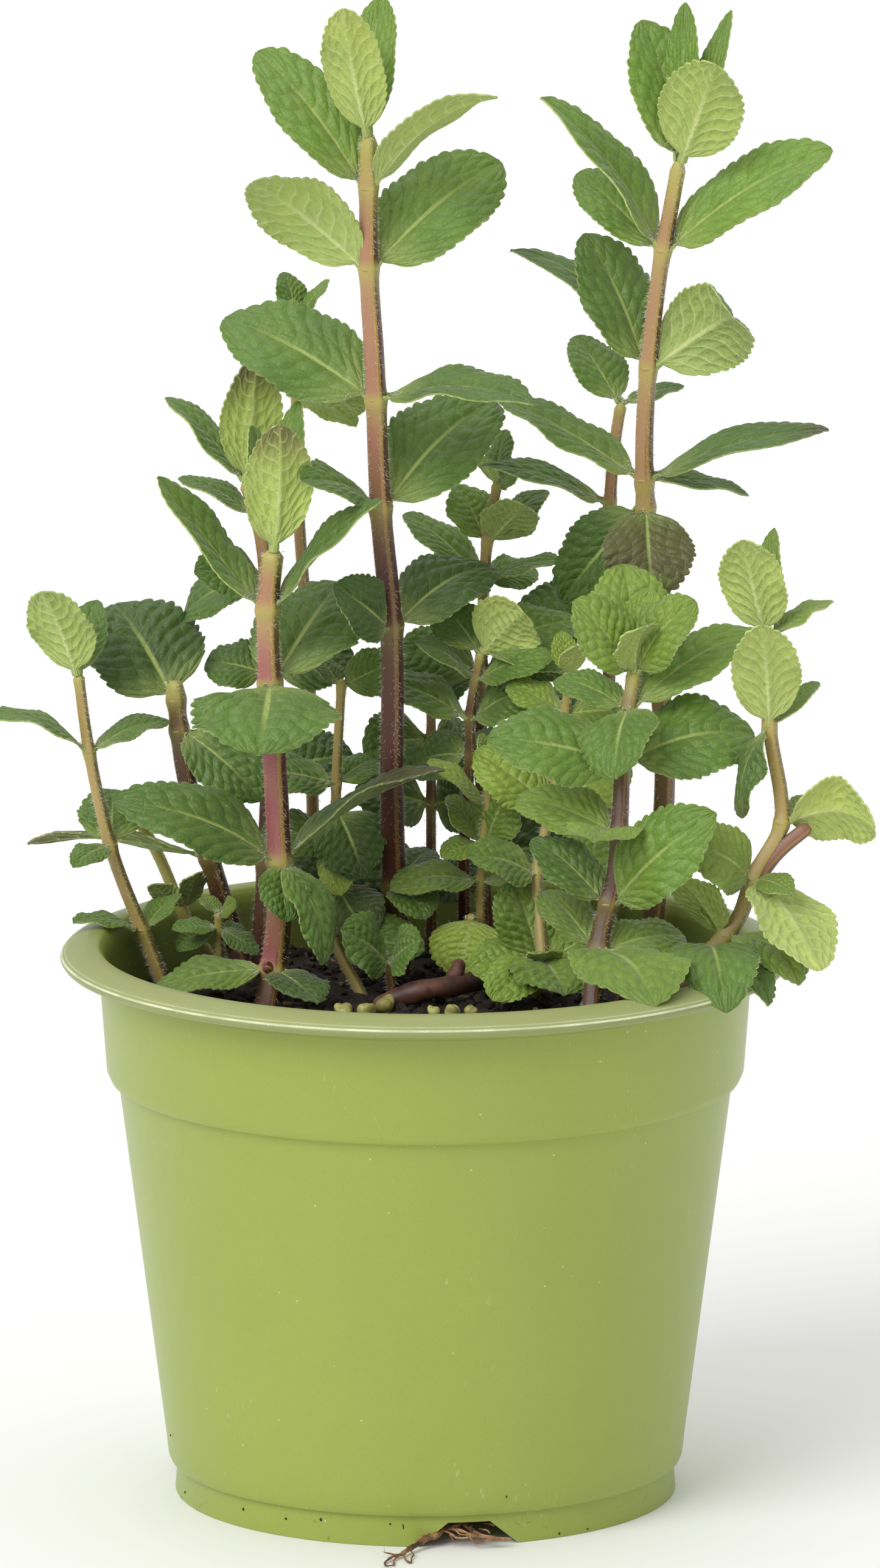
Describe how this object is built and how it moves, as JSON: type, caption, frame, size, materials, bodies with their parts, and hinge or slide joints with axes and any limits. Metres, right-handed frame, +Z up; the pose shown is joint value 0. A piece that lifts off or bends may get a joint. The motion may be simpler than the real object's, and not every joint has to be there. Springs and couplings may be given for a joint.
{
  "type": "potted mint plant",
  "caption": "Bushy mint plant with upright square stems and opposite toothed leaves, growing from dark soil in a tapered nursery pot with a wide rolled rim.",
  "frame": {"origin": "on the table, on the pot's axis", "axes": "+Z up along the pot and the stems, +X to the right of the pictured side, -Y towards the viewer"},
  "size_m": [0.1589, 0.13, 0.2679],
  "materials": {
    "pot_plastic": "satin",
    "soil": "matte",
    "root": "matte",
    "stem": "satin",
    "leaf": "satin",
    "young_leaf": "satin"
  },
  "bodies": {
    "root": {"creeping_stem": "stem", "leaves_broken_left_first": "leaf", "leaves_broken_left_second": "leaf", "leaves_broken_left_third": "leaf", "leaves_far_right_base": "leaf", "leaves_far_right_first": "leaf", "leaves_far_right_fourth": "leaf", "leaves_far_right_second": "leaf", "leaves_far_right_third": "leaf", "leaves_far_right_top": "young_leaf", "leaves_front_left_first": "leaf", "leaves_front_left_fourth": "leaf", "leaves_front_left_second": "leaf", "leaves_front_left_third": "leaf", "leaves_front_left_top": "young_leaf", "leaves_front_right_fifth": "leaf", "leaves_front_right_first": "leaf", "leaves_front_right_fourth": "leaf", "leaves_front_right_second": "leaf", "leaves_front_right_third": "leaf", "leaves_front_right_top": "young_leaf", "leaves_tall_left_base": "leaf", "leaves_tall_left_fifth": "leaf", "leaves_tall_left_first": "leaf", "leaves_tall_left_fourth": "leaf", "leaves_tall_left_second": "leaf", "leaves_tall_left_third": "leaf", "leaves_tall_left_top": "young_leaf", "leaves_tall_right_first": "leaf", "leaves_tall_right_fourth": "leaf", "leaves_tall_right_second": "leaf", "leaves_tall_right_third": "leaf", "leaves_tall_right_top": "young_leaf", "leaves_thin_left_first": "leaf", "leaves_thin_left_second": "leaf", "leaves_thin_left_third": "leaf", "leaves_thin_left_top": "leaf", "pot": "pot_plastic", "roots_in_notch": "root", "shoot_back_left": "leaf", "shoot_back_middle": "leaf", "shoot_behind_right": "leaf", "shoot_cut_yellow": "leaf", "shoot_low_middle": "leaf", "shoot_middle": "leaf", "shoot_middle_back": "leaf", "shoot_middle_left": "leaf", "shoot_middle_low": "leaf", "shoot_pale_leaf": "leaf", "shoot_rosette": "leaf", "shoot_thin_back": "leaf", "shoot_tiny_left": "leaf", "soil": "soil", "stem_broken_left": "stem", "stem_far_right": "stem", "stem_front_left": "stem", "stem_front_right": "stem", "stem_tall_left": "stem", "stem_tall_right": "stem", "stem_thin_left": "stem"}
  },
  "joints": []
}
